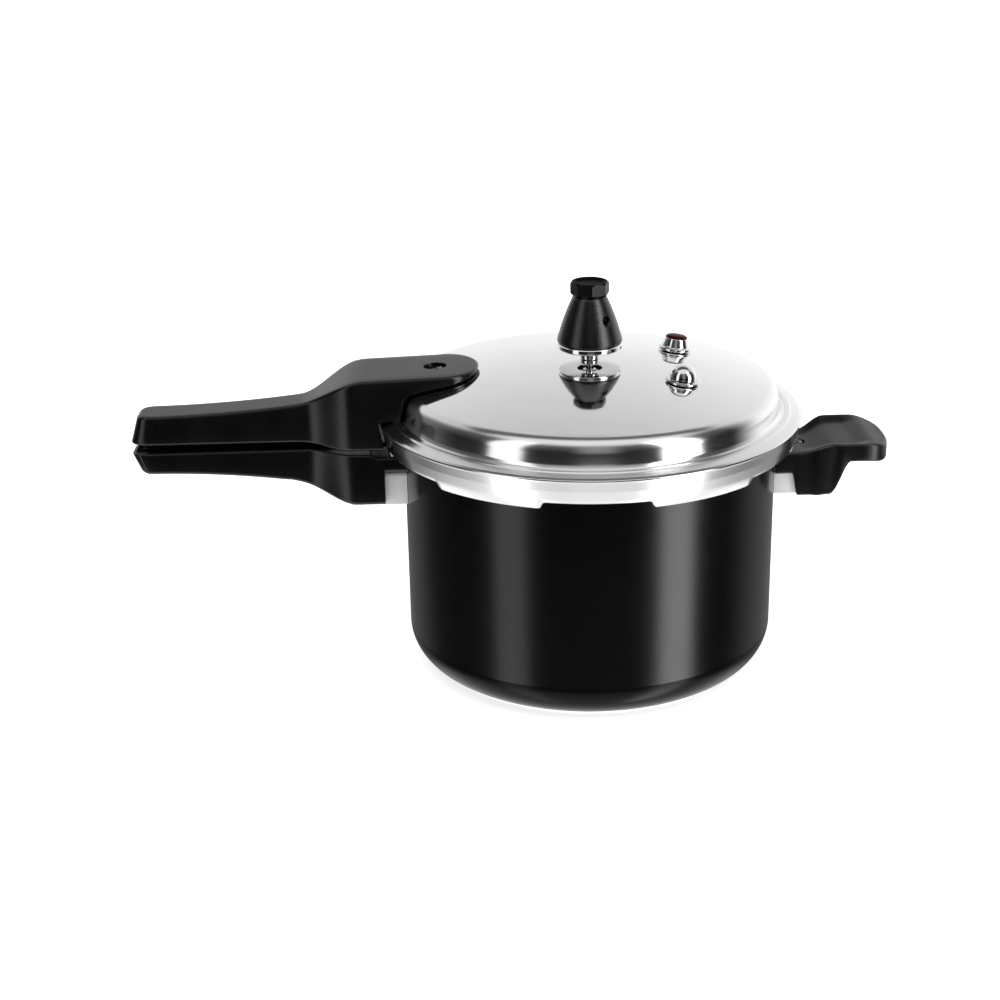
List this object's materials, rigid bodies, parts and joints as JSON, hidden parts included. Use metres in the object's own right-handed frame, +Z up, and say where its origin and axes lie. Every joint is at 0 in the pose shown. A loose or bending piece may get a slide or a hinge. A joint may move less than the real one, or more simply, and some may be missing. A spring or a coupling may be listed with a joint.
{
  "type": "stovetop pressure cooker",
  "caption": "Stovetop pressure cooker with a turning bayonet lid, paired long handles, a short helper handle, a lift-off regulator weight and safety valves.",
  "frame": {"origin": "centre of the pot's base, on the face it stands on", "axes": "+Z up along the pot's axis; the long handles point towards -X and the helper handle towards +X"},
  "size_m": [0.4127, 0.2316, 0.2128],
  "materials": {
    "black_enamel": "glossy black enamel over aluminium",
    "polished_aluminium": "polished, satin on the skirt",
    "bare_aluminium": "satin bare metal",
    "bakelite": "satin black phenolic, fine moulded grain",
    "polished_steel": "bright polished steel",
    "steel_hardware": "plain turned steel",
    "gasket_rubber": "matt rubber",
    "red_silicone": "dark red silicone"
  },
  "bodies": {
    "pot": {"pot_body": "black_enamel", "pot_handle_bracket": "bare_aluminium", "pot_handle_rivet_1": "steel_hardware", "pot_handle_rivet_2": "steel_hardware", "pot_handle": "bakelite", "pot_handle_screw": "steel_hardware", "pot_handle_nut": "steel_hardware", "helper_bracket": "bare_aluminium", "helper_rivet_1": "steel_hardware", "helper_rivet_2": "steel_hardware", "helper_handle": "bakelite", "helper_screw": "steel_hardware", "helper_nut": "steel_hardware"},
    "lid": {"lid_shell": "polished_aluminium", "lid_gasket": "gasket_rubber", "lid_handle": "bakelite", "lid_handle_screw": "steel_hardware", "lid_handle_washer": "gasket_rubber", "lid_handle_nut": "steel_hardware", "vent_pipe": "steel_hardware", "vent_pipe_washer": "gasket_rubber", "vent_pipe_nut": "steel_hardware", "safety_plug_housing": "polished_steel", "safety_plug_nut": "steel_hardware", "relief_valve_seat": "polished_steel", "relief_valve_cap": "polished_steel", "relief_valve_nut": "steel_hardware", "relief_valve_spring": "steel_hardware"},
    "regulator_weight": {"weight_core": "steel_hardware", "weight_shroud": "bakelite", "weight_cap": "bakelite"},
    "safety_plug": {"safety_plug": "red_silicone"},
    "relief_valve_pin": {"relief_valve_pin": "steel_hardware"}
  },
  "joints": [
    {"name": "lid_turn", "type": "hinge", "parent": "pot", "child": "lid", "pos_m": [0, 0, 0.143], "axis": [0, 0, 1], "range_deg": [0, 30]},
    {"name": "weight_lift", "type": "slide", "parent": "lid", "child": "regulator_weight", "axis": [0, 0, 1], "range_m": [0, 0.018]},
    {"name": "safety_plug_rise", "type": "slide", "parent": "lid", "child": "safety_plug", "axis": [0.1243, 0.0615, 0.9903], "range_m": [0, 0.0025]},
    {"name": "relief_pin_rise", "type": "slide", "parent": "lid", "child": "relief_valve_pin", "axis": [0.1169, -0.0837, 0.9896], "range_m": [0, 0.0015], "stiffness_N_per_m": 300, "springref_m": -0.002, "deforming": ["relief_valve_spring"]}
  ]
}
